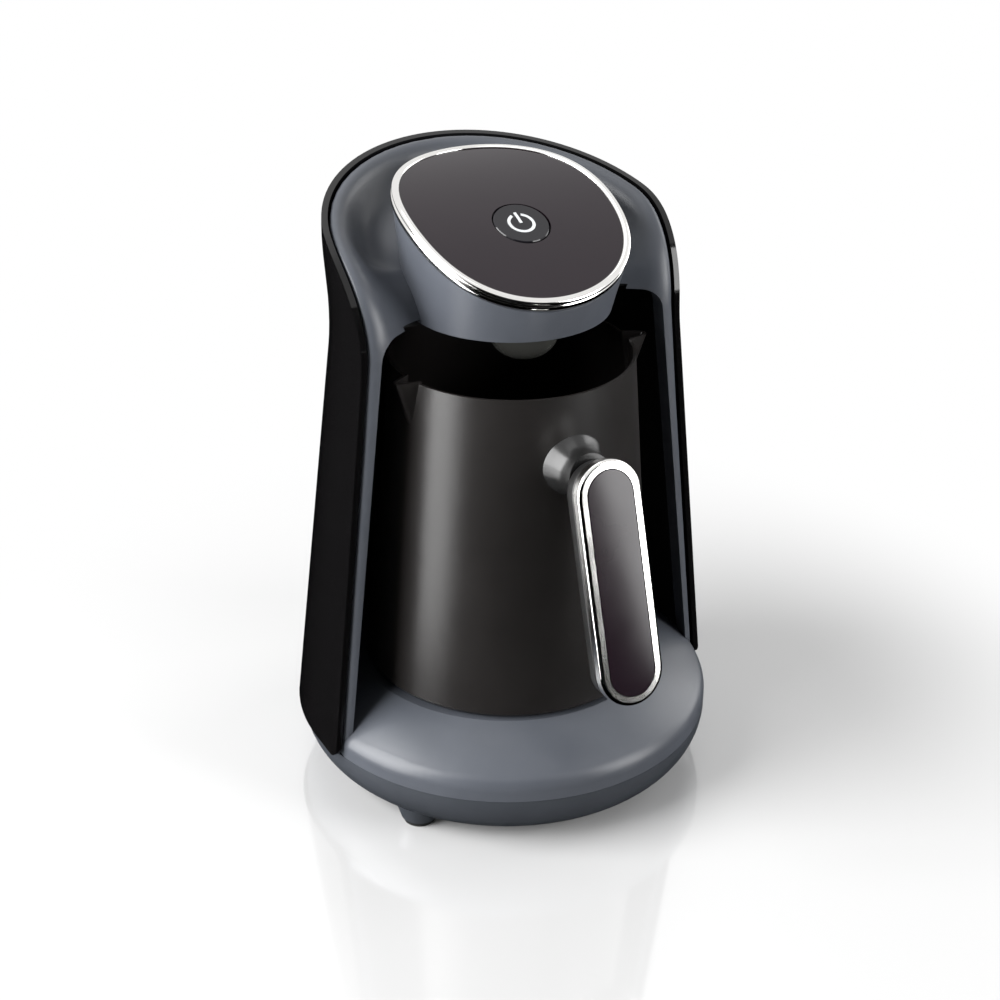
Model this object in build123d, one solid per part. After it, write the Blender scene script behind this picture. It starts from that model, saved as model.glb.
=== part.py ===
"""Electric Turkish coffee maker: a heated round base, a wrap-around shell with an
overhanging control head, and a lift-out pot with a hanging handle.

Millimetres, +Z up. The user stands on the -Y side, and the pot's spouts point along X.
Everything is drawn about the base's own axis, and moved by CENTRE_Y when it is saved, so
that the saved origin is under the middle of the whole object, on the table.
"""

from build123d import *
from math import asin, atan, cos, degrees, hypot, pi, radians, sin, sqrt, tan
import os

# ---------------------------------------------------------------- driving dimensions

# clearances
FIT = 0.05          # seated faces and pieces that slide in one another
GAP = 0.35          # curved faces of pieces that move apart
SEAM = 0.15         # joint lines between fixed mouldings

# tub, feet and cover
BASE_R = 78.2
TUB_ROUND = 9.2        # how far the tub's flat floor stays in from its widest ring
TUB_BULGE = 2.0        # how far the tub's side bows out between the floor and the ring
TUB_FLOOR_Z = 5.0
TUB_WALL = 2.5
PARTING_Z = 22.2
PAD_R = 6.2
PAD_H = 2.0
FOOT_R = 7.6
FOOT_H = 7.0           # from the pad up into the bowl's round
FOOT_IN = 3.6
FOOT_ANGLE = 33.5
CREASE_IN = 3.0
CREASE_Z = 32.0
COVER_WALL = 2.4
COVER_CROWN = 0.9      # how far the cover bows up between crease and seat
SEAT_LAND = 6.6
SEAT_Z = 42.9

# heating plate and what hangs under it
PLATE_R = 50.4
PLATE_Z = 43.5
PLATE_T = 2.0
PLATE_FLANGE = 3.6
ELEMENT_RING_R = 34.0
ELEMENT_TUBE_R = 3.4
CLAMP_R = 44.0
CLAMP_T = 1.2
CLAMP_BOSS_R = 3.4
CLAMP_BOSS_RING_R = 20.0
PLUNGER_R = 7.7
SPRING_WIRE_R = 0.45
SPRING_R = 4.9
SPRING_TURNS = 6

# shell: half a turned wall at the back with straight sides forward of it, open at the front
SHELL_PROUD = 1.7
SHELL_KNEE_R = 64.2    # where the straight flank ends, below the pinched waist
SHELL_KNEE_RISE = 2.0  # above the pot's rim
SHELL_WAIST_IN = 0.4
SHELL_WAIST_RISE = 20.0
SHELL_NECK_OUT = 1.0
SHELL_NECK_RISE = 40.0
SHELL_TOP_OUT = 0.2
SHELL_TOP_RISE = 65.0
SHELL_WALL = 2.2
SHELL_TIP_R = 5.0      # round on the lower front corners
EDGE_FOOT_Y = -17.9    # the front edges, at the foot
EDGE_TOP_Y = -12.6     # the front edges, where they would meet the rim
EDGE_RISE = 22.2       # that meeting point above the bay's ceiling
RIM_RISE = 44.6        # the rim at the back above the bay's ceiling
RIM_CORNER_R = 38.6

# bay for the pot
FOAM_ROOM = 17.0       # from the pot's rim to the ceiling
BAY_FOOT_SPACE = 5.9   # from the shell's outside to the bay, at the foot
BAY_FOOT_Z = 40.0
BAY_TOP_SPACE = 7.2    # from the shell's knee to the bay, at the ceiling
BAY_FLAT_FOOT = 15.5   # how much the bay's flat back cuts off its cone, at the foot
BAY_FLAT_TOP = 8.0
BAY_ROUND = 8.0        # between the bay's sides and its ceiling
BAY_WALL = 1.6
FLANGE_DEPTH = 9.0
FLANGE_FOOT_Z = 27.5
FRAME_DEPTH = 24.0
RIM_STEPS = 12         # sections along the rim's corner, and again along the rest of the rim
LIP = 5.5
FRAME_IN = 3.1         # from the shell's outside to the frame, which leaves a dark groove
DISH_FROM_Y = 18.0     # behind this the frame's section is the dish, in front of it a bead

# frame's section: distance in from its outer edge, height in the dish, height at the bead
FRAME_SECTION = [
    (0.0, -1.2, -1.4),
    (0.5, -0.5, -0.3),
    (1.6, -0.2, 0.3),
    (3.2, -0.5, 0.5),
    (5.2, -1.8, 0.3),
    (7.5, -4.6, -0.4),
    (11.0, -9.8, -2.4),
    (15.0, -13.6, -4.8),
    (19.0, -15.2, -6.8),
    (24.0, -15.6, -8.4),
    (28.5, -15.6, -9.4),
]

# head: the panel is a cylinder about a line along X, and its outline is an egg
PANEL_Y = -13.8
PANEL_RISE = 29.9      # above the bay's ceiling
PANEL_TILT = 24.1
PANEL_R = 183.0
PANEL_T = 2.0
PANEL_SHIFT = 12.0
PANEL_MEAN_R = 41.2
PANEL_EGG = 1.05
PANEL_STRETCH = 2.3
PANEL_SQUARE = -0.64
RING_FACE = 1.5
RING_PROUD = 0.7
RING_H = 4.2
RING_GROOVE = 0.7      # width and depth of the groove round the ring's side
HEAD_WALL = 3.0
HEAD_TAPER = 4.7
HEAD_COVER_T = 2.4
NOSE_R = 13.0
NOSE_Y = -11.0
NOSE_H = 16.0
NOSE_WALL = 1.3

# power button, in the panel's plane
BUTTON_R = 9.9
BUTTON_GROOVE = 0.5
BUTTON_SHIFT = 6.0
BUTTON_T = 2.0
STEM_R = 3.0
SYMBOL_R = 4.4
SYMBOL_LINE = 1.15
SYMBOL_T = 0.5
BOARD_DROP = 16.0
BOARD_T = 1.6
CONTROL_BOARD_SHIFT = 10.0
CONTROL_BOARD_SPACE = 7.5
CARRIER_SPACE = 10.2
CARRIER_WALL = 2.2
CARRIER_DEPTH = 9.0
CARRIER_POST_R = 2.6
CARRIER_POST_RING_R = 21.0
SWITCH_W = 6.0
SWITCH_H = 3.4

# pot and handle
POT_Y = -2.2
POT_FOOT_R = 54.5
POT_RIM_R = 44.6
POT_RIM_Z = 165.0
POT_WALL = 1.0
POT_FLOOR_H = 2.6
POT_FOOT_RING = 5.5
SPOUT_R = 7.0          # round of the spout's root, inside the pot
SPOUT_ROOT_IN = 10.0   # from the rim to that round's middle
SPOUT_TIP_R = 2.2
SPOUT_OUT = 6.8
SPOUT_DROP = 16.0
SPOUT_RISE = 0.7       # of the spouts' tips over the rim
SPOUT_TURN = 11.0      # how far each spout is turned to the front
HANDLE_OUT = 23.2      # from the pot's rim to the top of the handle's face
HANDLE_DROP = 17.6     # from the pot's rim down to the top of the insert
HANDLE_LEAN = 17.6
INSERT_L = 80.0
INSERT_W = 18.2
INSERT_T = 2.0
BEZEL = 3.2
FRAME_T = 5.0
FRAME_ROUND = 1.3
BACK_T = 7.0
BACK_IN = 1.2          # of the back shell, inside the frame all round
NECK_DROP = 8.4
NECK_R = 8.6
BOSS_R = 12.6
STUD_R = 3.6
STUD_L = 9.0

# power board and fixings
POWER_BOARD_X = 88.0
POWER_BOARD_Y = 54.0
POWER_BOARD_SHIFT = 17.0
POWER_BOARD_Z = 14.0
RELAY_X = 19.0
RELAY_Y = 15.5
RELAY_Z = 15.0
CORE_X = 22.0
CORE_Y = 18.0
CORE_Z = 14.0
CORE_LEG = 4.0
CAPACITOR_X = 18.0
CAPACITOR_Y = 7.0
CAPACITOR_Z = 12.0
TERMINAL_PITCH = 6.0
TERMINAL_Y = 9.0
TERMINAL_Z = 9.0
CUTOUT_R = 7.5
POST_R = 3.2
SCREW_R = 1.45
SCREW_HEAD_R = 2.7
SCREW_HEAD_H = 1.6
SCREW_LONG = 14.0
SCREW_SHORT = 6.0
LOOM_R = 2.0
LOOM_BEND_R = 12.0
INLET_R = 4.0
INLET_WALL = 2.5
INLET_NECK = 13.0
INLET_FLANGE_R = 8.5
INLET_PROUD = 2.5
INLET_Z = 14.0

# ---------------------------------------------------------------- worked-out values

TUB_FLOOR_R = BASE_R - TUB_ROUND
FOOT_RING_R = TUB_FLOOR_R - FOOT_IN
CREASE_R = BASE_R - CREASE_IN
SEAT_R = PLATE_R + SEAT_LAND
BAY_TOP_Z = POT_RIM_Z + FOAM_ROOM
SHELL_FOOT_R = BASE_R + SHELL_PROUD
SHELL_KNEE_Z = POT_RIM_Z + SHELL_KNEE_RISE
SHELL_WAIST_R = SHELL_KNEE_R - SHELL_WAIST_IN
SHELL_WAIST_Z = SHELL_KNEE_Z + SHELL_WAIST_RISE
SHELL_NECK_R = SHELL_KNEE_R + SHELL_NECK_OUT
SHELL_NECK_Z = SHELL_KNEE_Z + SHELL_NECK_RISE
SHELL_TOP_R = SHELL_KNEE_R + SHELL_TOP_OUT
SHELL_TOP_Z = SHELL_KNEE_Z + SHELL_TOP_RISE
EDGE_TOP_Z = BAY_TOP_Z + EDGE_RISE
RIM_BACK_Z = BAY_TOP_Z + RIM_RISE
BAY_FOOT_R = SHELL_FOOT_R - BAY_FOOT_SPACE
BAY_TOP_R = SHELL_KNEE_R - BAY_TOP_SPACE
BAY_BACK_FOOT_Y = BAY_FOOT_R - BAY_FLAT_FOOT
BAY_BACK_TOP_Y = BAY_TOP_R - BAY_FLAT_TOP
PANEL_Z = BAY_TOP_Z + PANEL_RISE
HEAD_FOOT_R = PANEL_MEAN_R - HEAD_TAPER
CARRIER_R = PANEL_MEAN_R - CARRIER_SPACE
CONTROL_BOARD_R = HEAD_FOOT_R - HEAD_WALL - CONTROL_BOARD_SPACE
POT_RECESS_R = POT_FOOT_R - POT_FOOT_RING
SPOUT_REACH = POT_RIM_R + SPOUT_OUT
HANDLE_TOP_Y = POT_Y - POT_RIM_R - HANDLE_OUT
HANDLE_TOP_Z = POT_RIM_Z - HANDLE_DROP
NECK_Z = HANDLE_TOP_Z - NECK_DROP
PARTING_TOP_Z = PARTING_Z + SEAM
SHELL_FOOT_Z = PARTING_Z + SEAM
POT_FOOT_Z = PLATE_Z + FIT
BAY_SLOPE = (BAY_TOP_R - BAY_FOOT_R) / (BAY_TOP_Z - BAY_FOOT_Z)
BACK_SLOPE = (BAY_BACK_TOP_Y - BAY_BACK_FOOT_Y) / (BAY_TOP_Z - BAY_FOOT_Z)
POT_SLOPE = (POT_RIM_R - POT_FOOT_R) / (POT_RIM_Z - POT_FOOT_Z)
LINER_GAP = SHELL_WALL + SEAM
HANDLE_L = INSERT_L + 2 * BEZEL
HANDLE_W = INSERT_W + 2 * BEZEL
FAR = 300.0

lean = radians(HANDLE_LEAN)
tilt = radians(PANEL_TILT)
HANDLE_REACH = -HANDLE_TOP_Y + (INSERT_L + BEZEL - FRAME_ROUND) * sin(lean) + FRAME_ROUND * (1 - cos(lean))
CENTRE_Y = (HANDLE_REACH - BASE_R - INLET_PROUD) / 2

# panel frame: x along X, y up the slope, z out of the face
panel_plane = Plane(origin=(0, PANEL_Y, PANEL_Z), x_dir=(1, 0, 0), z_dir=(0, -sin(tilt), cos(tilt)))
panel_axis = (0, PANEL_Y + PANEL_R * sin(tilt), PANEL_Z - PANEL_R * cos(tilt))

# button frame: on the panel's surface, square to it
button_turn = asin(BUTTON_SHIFT / PANEL_R)
button_tilt = tilt - button_turn
button_plane = Plane(
    origin=(
        0,
        panel_axis[1] - PANEL_R * sin(button_tilt),
        panel_axis[2] + PANEL_R * cos(button_tilt),
    ),
    x_dir=(1, 0, 0),
    z_dir=(0, -sin(button_tilt), cos(button_tilt)),
)

# handle frame: middle of the front face, y up the handle, z out of the face
handle_plane = Plane(
    origin=(0, HANDLE_TOP_Y - INSERT_L / 2 * sin(lean), HANDLE_TOP_Z - INSERT_L / 2 * cos(lean)),
    x_dir=(1, 0, 0),
    z_dir=(0, -cos(lean), sin(lean)),
)


# ---------------------------------------------------------------- helpers


def disc(radius, bottom, top, x=0.0, y=0.0):
    """Upright cylinder between two heights."""
    return Pos(x, y, (bottom + top) / 2) * Cylinder(radius, top - bottom)


def tube(outer, inner, bottom, top, x=0.0, y=0.0):
    """Upright tube between two heights."""
    return disc(outer, bottom, top, x, y) - disc(inner, bottom - 1, top + 1, x, y)


def block(x0, x1, y0, y1, z0, z1):
    """Box between two corners."""
    return Pos((x0 + x1) / 2, (y0 + y1) / 2, (z0 + z1) / 2) * Box(x1 - x0, y1 - y0, z1 - z0)


def turned(*edges):
    """Solid of revolution about the base's axis, from edges drawn as (radius, height)."""
    face = make_face([piece.edges() for piece in edges])
    return revolve(Plane.XZ * face, Axis.Z)


def turned_polygon(*points):
    """Solid of revolution about the base's axis, from straight runs."""
    return turned(Polyline(*points, close=True))


def side_prism(*points):
    """Block as wide as needed along X, from its side view drawn as (y, z)."""
    return extrude(Plane.YZ * make_face(Polyline(*points, close=True)), amount=FAR / 2, both=True)


def ring_places(radius, angles):
    """Points on a circle about the base's axis."""
    return [(radius * cos(radians(a)), radius * sin(radians(a))) for a in angles]


def screw(length, head_top, x=0.0, y=0.0, head_down=False):
    """Pan-head screw with a cross slot, standing along Z, with its head's outer face at head_top."""
    turn = -1 if head_down else 1
    body = disc(SCREW_HEAD_R, -SCREW_HEAD_H, 0) + disc(SCREW_R, -SCREW_HEAD_H - length, -SCREW_HEAD_H)
    slot = Box(SCREW_HEAD_R * 1.3, SCREW_R * 0.4, SCREW_HEAD_H)
    body -= slot + Rot(0, 0, 90) * slot
    if turn < 0:
        body = Rot(180, 0, 0) * body
    return Pos(x, y, head_top) * body


def shell_radius(z):
    """Outer radius of the shell's straight flank at a height."""
    share = (z - SHELL_FOOT_Z) / (SHELL_KNEE_Z - SHELL_FOOT_Z)
    return SHELL_FOOT_R + share * (SHELL_KNEE_R - SHELL_FOOT_R)


def bay_radius(z):
    """Radius of the pot's bay at a height."""
    return BAY_FOOT_R + BAY_SLOPE * (z - BAY_FOOT_Z)


def pot_radius(z):
    """Outer radius of the pot at a height."""
    return POT_FOOT_R + POT_SLOPE * (z - POT_FOOT_Z)


def edge_y(z):
    """Place of the shell's front edges at a height."""
    share = (z - PARTING_Z) / (EDGE_TOP_Z - PARTING_Z)
    return EDGE_FOOT_Y + share * (EDGE_TOP_Y - EDGE_FOOT_Y)


def shell_line(inset):
    """Profile line of the shell from foot to top, moved inwards."""
    foot = (SHELL_FOOT_R - inset, SHELL_FOOT_Z)
    knee = (SHELL_KNEE_R - inset, SHELL_KNEE_Z)
    waist = (SHELL_WAIST_R - inset, SHELL_WAIST_Z)
    neck = (SHELL_NECK_R - inset, SHELL_NECK_Z)
    top = (SHELL_TOP_R - inset, SHELL_TOP_Z)
    flank = (knee[0] - foot[0], knee[1] - foot[1])
    flare = (top[0] - neck[0], top[1] - neck[1])
    return [Line(foot, knee), Spline(knee, waist, neck, top, tangents=[flank, flare])]


def round_behind(edges):
    """Half a turn of a profile behind the base's axis, drawn straight forward before it."""
    half = Plane.XZ * make_face(edges)
    side = extrude(half, amount=FAR / 4, dir=(0, -1, 0))
    return revolve(half, Axis.Z, revolution_arc=180) + side + mirror(side, Plane.YZ)


def inside_shell(inset):
    """Everything within the shell's profile line moved inwards."""
    closing = Polyline(
        (SHELL_TOP_R - inset, SHELL_TOP_Z),
        (0, SHELL_TOP_Z),
        (0, SHELL_FOOT_Z),
        (SHELL_FOOT_R - inset, SHELL_FOOT_Z),
    )
    return round_behind([*shell_line(inset), *closing.edges()])


def behind_edges(inset=0.0):
    """Everything behind the shell's front edges and under its rim, moved in by inset."""
    rim_slope = (RIM_BACK_Z - EDGE_TOP_Z) / (SHELL_TOP_R - EDGE_TOP_Y)
    corner = (EDGE_TOP_Y, EDGE_TOP_Z)
    foot = (edge_y(-FAR / 3), -FAR / 3)
    back = (FAR, corner[1] + rim_slope * (FAR - corner[0]))
    face = make_face(Polyline(foot, corner, back, (FAR, -FAR / 3), close=True))
    rim_corner = face.vertices().sort_by_distance((corner[0], corner[1], 0))[0]
    face = fillet(rim_corner, RIM_CORNER_R)
    if inset:
        face = offset(face, amount=-inset)
    return extrude(Plane.YZ * face, amount=FAR / 2, both=True)


def bay(grow=0.0):
    """The pot's bay: a cone with a rounded ceiling and a flat leaning back, grown by a wall."""
    low = TUB_FLOOR_Z
    cone = turned_polygon(
        (0, low),
        (bay_radius(low) + grow, low),
        (bay_radius(BAY_TOP_Z + grow) + grow, BAY_TOP_Z + grow),
        (0, BAY_TOP_Z + grow),
    )
    ceiling_edge = cone.edges().filter_by(GeomType.CIRCLE).sort_by(Axis.Z)[-1]
    cone = fillet(ceiling_edge, BAY_ROUND + grow)
    back_low = BAY_BACK_FOOT_Y + BACK_SLOPE * (low - BAY_FOOT_Z) + grow
    back_high = BAY_BACK_FOOT_Y + BACK_SLOPE * (FAR - BAY_FOOT_Z) + grow
    return cone & side_prism((-FAR, low), (back_low, low), (back_high, FAR), (-FAR, FAR))


def panel_radius(angle):
    """Radius of the panel's outline about its own centre; angle 0 is up the slope."""
    egg = PANEL_MEAN_R + PANEL_EGG * cos(angle)
    return egg + PANEL_STRETCH * cos(2 * angle) + PANEL_SQUARE * cos(4 * angle)


def panel_outline(grow, height, points=16):
    """Closed curve of the panel's outline in its own plane, grown and lifted."""
    turns = [2 * pi * i / points for i in range(points)]
    corners = [
        ((panel_radius(a) + grow) * sin(a), PANEL_SHIFT + (panel_radius(a) + grow) * cos(a), height)
        for a in turns
    ]
    return panel_plane * Spline(*corners, periodic=True)


def panel_prism(grow, bottom, top):
    """Straight column on the panel's outline, square to the panel's plane."""
    face = make_face(panel_outline(grow, bottom))
    return extrude(face, amount=top - bottom, dir=panel_plane.z_dir)


def panel_drum(drop):
    """Everything below the panel's curved surface lowered by drop."""
    return Pos(*panel_axis) * Rot(0, 90, 0) * Cylinder(PANEL_R - drop, FAR)


def head_column(wall):
    """Tapered column that carries the panel, moved in by a wall."""
    turns = [2 * pi * i / 16 for i in range(16)]
    foot_r = HEAD_FOOT_R - wall
    foot = Spline(*[(foot_r * sin(a), foot_r * cos(a), BAY_TOP_Z) for a in turns], periodic=True)
    shoulder = panel_outline(RING_FACE - wall, -RING_H)
    taper = loft([make_face(foot), make_face(shoulder)], ruled=True)
    return taper + panel_prism(RING_FACE - wall, -RING_H, RING_H)


def slot_prism(length, width, front, back):
    """Round-ended bar along the handle, between two depths behind its front face."""
    face = handle_plane.offset(-back) * SlotOverall(length, width, rotation=90)
    return extrude(face, amount=back - front, dir=handle_plane.z_dir)


def save(name, shape):
    """Write one node, with the origin under the middle of the object."""
    export_step(Pos(0, CENTRE_Y, 0) * shape, f"parts/{name}.step")


# ---------------------------------------------------------------- base


feet = ring_places(FOOT_RING_R, [FOOT_ANGLE, 180 - FOOT_ANGLE, 180 + FOOT_ANGLE, -FOOT_ANGLE])
cover_screws = ring_places(TUB_FLOOR_R - 2 * POST_R, [10, 170, 248, 292])
shell_bosses = ring_places(shell_radius(CREASE_Z) - SHELL_WALL - POST_R - 1.0, [66, 114])
board_corners = [
    (sx * (POWER_BOARD_X / 2 - POST_R - 1), POWER_BOARD_SHIFT + sy * (POWER_BOARD_Y / 2 - POST_R - 1))
    for sx in (-1, 1)
    for sy in (-1, 1)
]
SCREW_SINK = TUB_FLOOR_Z + 1.0      # how high the long screws' heads sit in the floor
COVER_BOSS_Z = SCREW_SINK + SCREW_HEAD_H + 6.0


def tub_bowl(wall):
    """Outside of the tub moved in by a wall."""
    side = ThreePointArc(
        (TUB_FLOOR_R - wall, TUB_FLOOR_Z + wall),
        (
            (TUB_FLOOR_R + BASE_R) / 2 + TUB_BULGE - wall,
            (TUB_FLOOR_Z + PARTING_Z) / 2 - TUB_BULGE + wall / 2,
        ),
        (BASE_R - wall, PARTING_Z),
    )
    rest = Polyline(
        (BASE_R - wall, PARTING_Z),
        (0, PARTING_Z),
        (0, TUB_FLOOR_Z + wall),
        (TUB_FLOOR_R - wall, TUB_FLOOR_Z + wall),
    )
    return turned(side, rest)


def make_base_tub():
    """Lower moulding: bowl, four foot stubs, screw posts and the board's posts."""
    bowl = tub_bowl(0)
    tub = bowl - tub_bowl(TUB_WALL)
    post_top = COVER_BOSS_Z - FIT
    for x, y in cover_screws:
        tub += disc(POST_R + 1, TUB_FLOOR_Z, post_top, x, y)
    for x, y in shell_bosses:
        tub += disc(POST_R + 1, TUB_FLOOR_Z, PARTING_Z, x, y) & bowl
    for x, y in board_corners:
        tub += disc(POST_R, TUB_FLOOR_Z + 1, POWER_BOARD_Z - FIT, x, y)
    for x, y in feet:
        stub = Pos(x, y, PAD_H + FOOT_H / 2) * Cone(FOOT_R - 0.8, FOOT_R + 1.4, FOOT_H)
        tub += stub - tub_bowl(TUB_WALL)
        tub -= disc(PAD_R / 2 + FIT, 0, TUB_FLOOR_Z, x, y)
    for x, y in cover_screws:
        tub -= disc(SCREW_R + FIT, 0, PARTING_Z, x, y)
        tub -= disc(SCREW_HEAD_R + SEAM, 0, SCREW_SINK + SCREW_HEAD_H, x, y)
    for x, y in shell_bosses:
        tub -= disc(SCREW_R + FIT, 0, PARTING_Z + 1, x, y)
        tub -= disc(SCREW_HEAD_R + SEAM, 0, PARTING_Z - 4, x, y)
    for x, y in board_corners:
        tub -= disc(SCREW_R + FIT, POWER_BOARD_Z - SCREW_SHORT, POWER_BOARD_Z, x, y)
    inlet_hole = Pos(0, BASE_R, INLET_Z) * Rot(90, 0, 0) * Cylinder(INLET_R + INLET_WALL, 3 * INLET_NECK)
    return tub - inlet_hole


def make_foot_pads():
    """Four rubber pads, each with a peg pushed up into its stub."""
    pads = []
    for x, y in feet:
        pad = Pos(x, y, PAD_H / 2) * Cone(PAD_R - 0.4, PAD_R, PAD_H)
        pads.append(pad + disc(PAD_R / 2, PAD_H / 2, TUB_FLOOR_Z - 0.5, x, y))
    return Compound(pads)


def cover_profile(drop):
    """Cover's top from the parting line to the seat, sunk square to itself by drop."""
    return [
        Line((BASE_R - drop, PARTING_TOP_Z), (BASE_R - drop, PARTING_Z + 4)),
        ThreePointArc(
            (BASE_R - drop, PARTING_Z + 4),
            (BASE_R - 0.9 - drop * 0.95, CREASE_Z - 2.4 - drop * 0.4),
            (CREASE_R - drop * 0.6, CREASE_Z - drop * 0.9),
        ),
        ThreePointArc(
            (CREASE_R - drop * 0.6, CREASE_Z - drop * 0.9),
            ((CREASE_R + SEAT_R) / 2, (CREASE_Z + SEAT_Z) / 2 + COVER_CROWN - drop),
            (SEAT_R, SEAT_Z - drop),
        ),
    ]


def under_cover(drop, inner):
    """Everything under the cover's top line, outside a centre hole."""
    walls = [
        Polyline(
            (SEAT_R, SEAT_Z - drop),
            (inner, SEAT_Z - drop),
            (inner, PARTING_TOP_Z),
            (BASE_R - drop, PARTING_TOP_Z),
        )
    ]
    return turned(*cover_profile(drop), *walls)


def make_base_cover():
    """Upper moulding: domed ring round the hot plate, cut back where the shell stands."""
    cover = under_cover(0, PLATE_R + GAP) - under_cover(COVER_WALL, PLATE_R - 1)
    boss_top = SEAT_Z - 6
    ceiling = under_cover(COVER_WALL / 2, 1.0)
    for x, y in cover_screws:
        cover += tube(POST_R + 1, SCREW_R + FIT, COVER_BOSS_Z, boss_top, x, y) & (
            ceiling + disc(BASE_R, COVER_BOSS_Z, PARTING_TOP_Z)
        )
    band_r = shell_radius(CREASE_Z + 3) - LINER_GAP
    within_shell = round_behind(Polyline((0, 0), (band_r, 0), (band_r, FAR), (0, FAR), close=True).edges())
    behind = side_prism((edge_y(0) - SEAM, 0), (FAR, 0), (FAR, FAR), (edge_y(0) - SEAM, FAR))
    cover -= behind - within_shell
    back_of_bay = BAY_BACK_FOOT_Y + BAY_WALL + 1.0
    return cover - block(-FAR / 2, FAR / 2, back_of_bay, FAR / 2, 0, FAR)


def make_base_screws():
    """Four screws up through the tub into the cover's bosses."""
    return Compound([screw(SCREW_LONG, SCREW_SINK, x, y, head_down=True) for x, y in cover_screws])


def make_cord_inlet():
    """Rubber grommet that the mains lead would enter by, in the back of the tub."""
    wall_y = BASE_R - TUB_WALL
    flange_y = BASE_R + INLET_PROUD - 2.0
    flange = Pos(0, flange_y, INLET_Z) * Rot(90, 0, 0) * Cylinder(INLET_FLANGE_R, 4.0)
    neck_y = wall_y + 1.0 - INLET_NECK / 2
    neck = Pos(0, neck_y, INLET_Z) * Rot(90, 0, 0) * Cylinder(INLET_R + INLET_WALL - FIT, INLET_NECK)
    bore = Pos(0, wall_y, INLET_Z) * Rot(90, 0, 0) * Cylinder(INLET_R, 4 * INLET_NECK)
    return (flange - tub_bowl(-SEAM)) + neck - bore


# ---------------------------------------------------------------- heating


CLAMP_Z = PLATE_Z - PLATE_T - 2 * ELEMENT_TUBE_R - 2 * FIT
clamp_bosses = ring_places(CLAMP_BOSS_RING_R, [30, 150, 270])
PLUNGER_LOW_Z = CLAMP_Z - 3.0
HOUSING_FLOOR_Z = CLAMP_Z - 10.5
SPRING_FOOT_Z = HOUSING_FLOOR_Z + 2.0 + FIT
SPRING_TOP_Z = PLATE_Z - PLATE_T - FIT


def make_hot_plate():
    """Pressed plate with a turned-out flange and three threaded bosses underneath."""
    low = SEAT_Z - COVER_WALL - 1.6
    plate = turned_polygon(
        (PLUNGER_R + 0.5, PLATE_Z - PLATE_T),
        (PLATE_R - PLATE_T, PLATE_Z - PLATE_T),
        (PLATE_R - PLATE_T, low),
        (PLATE_R + PLATE_FLANGE, low),
        (PLATE_R + PLATE_FLANGE, low + 1.0),
        (PLATE_R, low + 1.0),
        (PLATE_R, PLATE_Z - 0.6),
        (PLATE_R - 0.6, PLATE_Z),
        (PLUNGER_R + 0.5, PLATE_Z),
    )
    for x, y in clamp_bosses:
        boss = disc(CLAMP_BOSS_R, CLAMP_Z + FIT, PLATE_Z - PLATE_T / 2, x, y)
        plate += boss
        plate -= disc(SCREW_R + FIT, CLAMP_Z - 1, CLAMP_Z + SCREW_SHORT - 0.5, x, y)
    return plate


def make_plate_seal():
    """Silicone ring squeezed between the plate's flange and the cover."""
    low = SEAT_Z - COVER_WALL - 0.6
    return tube(PLATE_R + PLATE_FLANGE, PLATE_R + 0.4, low + FIT, low + 0.6 - FIT)


def make_heating_element():
    """Sheathed tube bent to most of a circle, with two cold pins down."""
    z = PLATE_Z - PLATE_T - ELEMENT_TUBE_R - FIT
    path = CenterArc((0, 0, z), ELEMENT_RING_R, 110, 320)
    start = path @ 0
    sheath = sweep(Plane(origin=start, z_dir=path % 0) * Circle(ELEMENT_TUBE_R), path=path)
    for end in (0, 1):
        spot = path @ end
        sheath += disc(1.6, z - ELEMENT_TUBE_R - 7, z, spot.X, spot.Y)
    return sheath


def make_element_clamp():
    """Steel dish screwed up under the element, with holes for its pins and the sensor."""
    clamp = disc(CLAMP_R, CLAMP_Z - CLAMP_T, CLAMP_Z)
    clamp += tube(CLAMP_R, CLAMP_R - CLAMP_T, CLAMP_Z - CLAMP_T, CLAMP_Z + ELEMENT_TUBE_R)
    clamp -= disc(PLUNGER_R + GAP + 1.6 + SEAM, 0, FAR)
    for x, y in clamp_bosses:
        clamp -= disc(SCREW_R + SEAM, 0, FAR, x, y)
    for x, y in ring_places(ELEMENT_RING_R, [110, 70]):
        clamp -= disc(3.2, 0, FAR, x, y)
    return clamp


def make_clamp_screws():
    """Three screws through the clamp into the plate's bosses."""
    top = CLAMP_Z - CLAMP_T - SCREW_HEAD_H - FIT
    length = SCREW_SHORT + CLAMP_T - 1.0
    return Compound([screw(length, top, x, y, head_down=True) for x, y in clamp_bosses])


def make_sensor_plunger():
    """Cap that rides against the pot's base and carries the temperature bead."""
    cap = disc(PLUNGER_R, PLATE_Z - PLATE_T + FIT, PLATE_Z)
    return cap + tube(PLUNGER_R, PLUNGER_R - 1.2, PLUNGER_LOW_Z, PLATE_Z - PLATE_T + 1)


def make_plunger_spring():
    """Coil spring under the plunger's cap."""
    height = SPRING_TOP_Z - SPRING_FOOT_Z - 2 * SPRING_WIRE_R
    coil = Helix(pitch=height / SPRING_TURNS, height=height, radius=SPRING_R)
    wire = sweep(Plane(origin=coil @ 0, z_dir=coil % 0) * Circle(SPRING_WIRE_R), path=coil, is_frenet=True)
    return Pos(0, 0, SPRING_FOOT_Z + SPRING_WIRE_R) * wire


def make_plunger_housing():
    """Cup that guides the plunger, hung from the clamp's middle hole."""
    outer = PLUNGER_R + GAP + 1.6
    cup = disc(outer, HOUSING_FLOOR_Z, CLAMP_Z + 1.0) - disc(PLUNGER_R + GAP, HOUSING_FLOOR_Z + 2, FAR)
    return cup + (
        tube(outer + 4, outer - 1, CLAMP_Z - CLAMP_T - 1.2 - FIT, CLAMP_Z - CLAMP_T - FIT)
    )


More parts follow.
